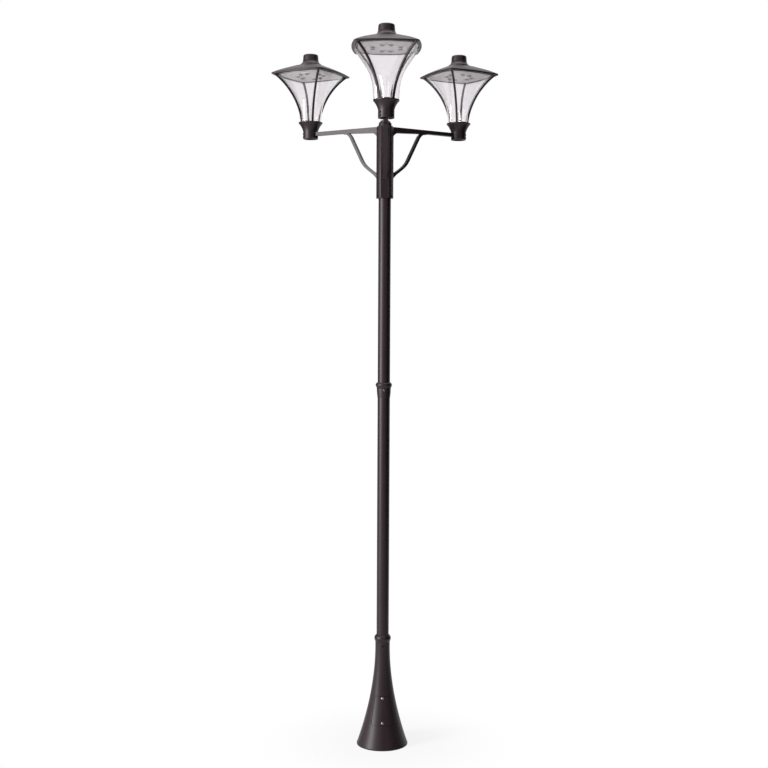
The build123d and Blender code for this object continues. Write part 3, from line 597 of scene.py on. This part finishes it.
def eave_ring(bottom, top):
    """The eave frame: a flat ring with rounded corners and edges."""
    bm = bmesh.new()
    outer, inner = bowed_square(eave_half, eave_bulge), bowed_square(eave_half - eave_band, eave_bulge)
    rims = ((outer, bottom), (outer, top), (inner, top), (inner, bottom))
    skinned(bm, [outline(bm, points, height) for points, height in rims])
    rounded = {"affect": "EDGES", "profile": 0.5, "material": -1, "clamp_overlap": True}
    corners = [edge for edge in bm.edges if is_upright(edge) and edge.calc_face_angle(0) > rounded_fold]
    bmesh.ops.bevel(bm, geom=corners, offset=eave_corner, segments=4, **rounded)
    rims = [edge for edge in bm.edges if edge.calc_face_angle(0) > rounded_fold]
    bmesh.ops.bevel(bm, geom=rims, offset=eave_edge, segments=2, **rounded)
    return bm


def rib():
    """One rib: a rounded bar spun along its arc, then trimmed level at both ends."""
    bm = bmesh.new()
    bmesh.ops.create_grid(bm, x_segments=1, y_segments=1, size=0.5)
    bmesh.ops.scale(bm, vec=(rib_depth, rib_width, 1), verts=bm.verts[:])
    rounded = {"affect": "VERTICES", "segments": 2, "profile": 0.5, "material": -1}
    bmesh.ops.bevel(bm, geom=bm.verts[:], offset=rib_edge, **rounded)
    centre = Vector((rib_centre_reach, 0, collar_top - rib_centre_drop))
    out_to_arc = Matrix.Translation((-rib_arc_radius, 0, 0))
    foot = Matrix.Translation(centre) @ Matrix.Rotation(rib_start, 4, "Y") @ out_to_arc
    bmesh.ops.transform(bm, matrix=foot, verts=bm.verts[:])
    sweep = {"cent": centre, "axis": (0, 1, 0), "angle": rib_end - rib_start, "steps": rib_steps}
    bmesh.ops.spin(bm, geom=bm.verts[:] + bm.edges[:] + bm.faces[:], **sweep)
    for height, keep_above in ((collar_top, True), (eave_bottom + rib_bury, False)):
        whole = bm.verts[:] + bm.edges[:] + bm.faces[:]
        cut = bmesh.ops.bisect_plane(bm, geom=whole, plane_co=(0, 0, height), plane_no=(0, 0, 1),
                                     clear_inner=keep_above, clear_outer=not keep_above)
        edges = [item for item in cut["geom_cut"] if isinstance(item, bmesh.types.BMEdge)]
        bmesh.ops.edgeloop_fill(bm, edges=edges)
    bmesh.ops.recalc_face_normals(bm, faces=bm.faces[:])
    return bm


ribs = scattered(rib(), [Matrix.Rotation(radians(45 + 90 * turn), 4, "Z") for turn in range(4)])
cage_mesh = bpy.data.meshes.new("cage_pattern")
eave = eave_ring(eave_bottom, eave_top)
eave.to_mesh(cage_mesh)
eave.free()
ribs.from_mesh(cage_mesh)
ribs.to_mesh(cage_mesh)
ribs.free()
for side, place in lantern_places.items():
    bm = bmesh.new()
    bm.from_mesh(cage_mesh)
    bmesh.ops.transform(bm, matrix=place, verts=bm.verts[:])
    make_piece(f"{side}_rib_cage", bm, powder_coat, "post", "powder_coat", f"{side}_cage")

# Seal: moulded black rubber with a dull skin, dusty in patches about 12 mm wide.
dust_patch = 12 * mm
seal_rubber, tree, shader, here = start_finish("black_seal_rubber", IOR=1.5)
dust = add_node(tree, "TexNoise", {"Vector": here, "Scale": 1 / dust_patch, "Detail": 3.0}).outputs["Fac"]
vary(tree, shader, dust, colours=("#161516", "#242324"), roughness=(0.65, 0.85))
for side in arm_angles:
    dress(f"{side}_gasket", seal_rubber)

# ------------------------------------------------------------------ roofs
# Low hipped casting with bowed sides that runs up into a flared round stack, powder coated like
# the cage that it closes.
for side in arm_angles:
    dress(f"{side}_roof", powder_coat)

# ------------------------------------------------------------------ gear trays
# White coated sheet pan that closes the eave frame from inside and faces down through the
# diffuser. It carries the lens modules below and the driver above.
tray_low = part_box("front_led_tray")[0].z
tray_screw_reach = 93.0 * mm
tray_screw_radius = 3.5 * mm
tray_screw_height = 1.8 * mm
tray_socket_radius = 1.3 * mm
tray_socket_depth = 1.0 * mm


def under_tray(place, reach):
    """Four places round a lantern's axis on its tray's underside, with +Z pointing down."""
    return [
        place @ Matrix.Rotation(turn * pi / 2, 4, "Z") @ Matrix.Translation((reach, 0, tray_low))
        @ Matrix.Rotation(pi, 4, "X")
        for turn in range(4)
    ]


# White coated sheet: smooth, with the softest of ripples, about 30 mm wide.
sheet_ripple = 30 * mm
tray_white, tree, shader, here = start_finish("white_coated_sheet", IOR=1.5)
ripple = add_node(tree, "TexNoise", {"Vector": here, "Scale": 1 / sheet_ripple, "Detail": 2.0}).outputs["Fac"]
vary(tree, shader, ripple, colours=("#d9d7da", "#e4e2e5"), roughness=(0.4, 0.5))

# Driver case: pale moulded plastic with the same spark-eroded grain as the connection box.
driver_case, tree, shader, here = start_finish("driver_case_plastic", IOR=1.46)
grain = add_node(tree, "TexNoise", {"Vector": here, "Scale": 1 / spark_grain, "Detail": 1.0}).outputs["Fac"]
vary(tree, shader, grain, colours=("#dcdddd", "#e6e7e7"), roughness=(0.45, 0.6))

for side, place in lantern_places.items():
    dress(f"{side}_led_tray", tray_white)
    dress(f"{side}_driver", driver_case)
    dome = [(tray_screw_radius * across, tray_screw_height * up) for across, up in head_profile]
    screw = socket_screw([(0, 0)] + dome, tray_socket_radius, tray_socket_depth, steps=16)
    screws = scattered(screw, under_tray(place, tray_screw_reach))
    make_piece(f"{side}_tray_screws", screws, stainless, "post", "stainless")

# ------------------------------------------------------------------ lens modules
# Four light boards under the tray, facing down, each a white printed board with two round lenses
# of clear moulded plastic over its light chips.
module_reach = 62.0 * mm
lens_spacing = 38.0 * mm
board_size = (30.0 * mm, 66.0 * mm, 1.6 * mm)
board_corner = 3.0 * mm
lens_radius = 11.0 * mm
lens_height = 5.0 * mm
lens_steps = 24
# A lens from its rim to the dimple in its top, in shares of the lens's radius and height.
lens_profile = ((1.0, 0.0), (1.0, 0.2), (0.93, 0.5), (0.76, 0.78), (0.5, 0.95), (0.22, 0.99), (0.0, 0.9))

# Printed board: white solder mask, patchy where copper lies under it, 6 mm from patch to patch.
copper_patch = 6 * mm
white_board, tree, shader, here = start_finish("white_printed_board", IOR=1.5)
copper = add_node(tree, "TexVoronoi", {"Vector": here, "Scale": 1 / copper_patch}).outputs["Color"]
vary(tree, shader, copper, colours=("#c4c5bf", "#d6d6d2"), roughness=(0.35, 0.5))

# Clear lens: polished moulding, with a yellow cast from the chip below in patches 9 mm wide.
chip_cast = 9 * mm
clear_lens, tree, shader, here = start_finish("clear_lens_moulding", IOR=1.49, Transmission_Weight=0.6)
glow = add_node(tree, "TexNoise", {"Vector": here, "Scale": 1 / chip_cast, "Detail": 1.0}).outputs["Fac"]
vary(tree, shader, glow, colours=("#d6d0c0", "#b4ae9f"), roughness=(0.08, 0.2))

for side, place in lantern_places.items():
    seats = under_tray(place, module_reach)
    board = bmesh.new()
    bmesh.ops.create_cube(board, size=1)
    bmesh.ops.translate(board, vec=(0, 0, 0.5), verts=board.verts[:])
    bmesh.ops.scale(board, vec=board_size, verts=board.verts[:])
    corners = [edge for edge in board.edges if is_upright(edge)]
    rounded = {"affect": "EDGES", "segments": 3, "profile": 0.5, "material": -1}
    bmesh.ops.bevel(board, geom=corners, offset=board_corner, **rounded)
    make_piece(f"{side}_light_boards", scattered(board, seats), white_board, "post", "tray_white")
    dome = turned([(lens_radius * across, lens_height * up) for across, up in lens_profile], lens_steps)
    bmesh.ops.edgeloop_fill(dome, edges=[edge for edge in dome.edges if edge.is_boundary])
    bmesh.ops.recalc_face_normals(dome, faces=dome.faces[:])
    tops = [
        seat @ Matrix.Translation((0, step * lens_spacing / 2, board_size[2]))
        for seat in seats
        for step in (-1, 1)
    ]
    lenses = scattered(dome, tops)
    make_piece(f"{side}_lenses", lenses, clear_lens, "post", "lens_clear", f"{side}_led_modules")
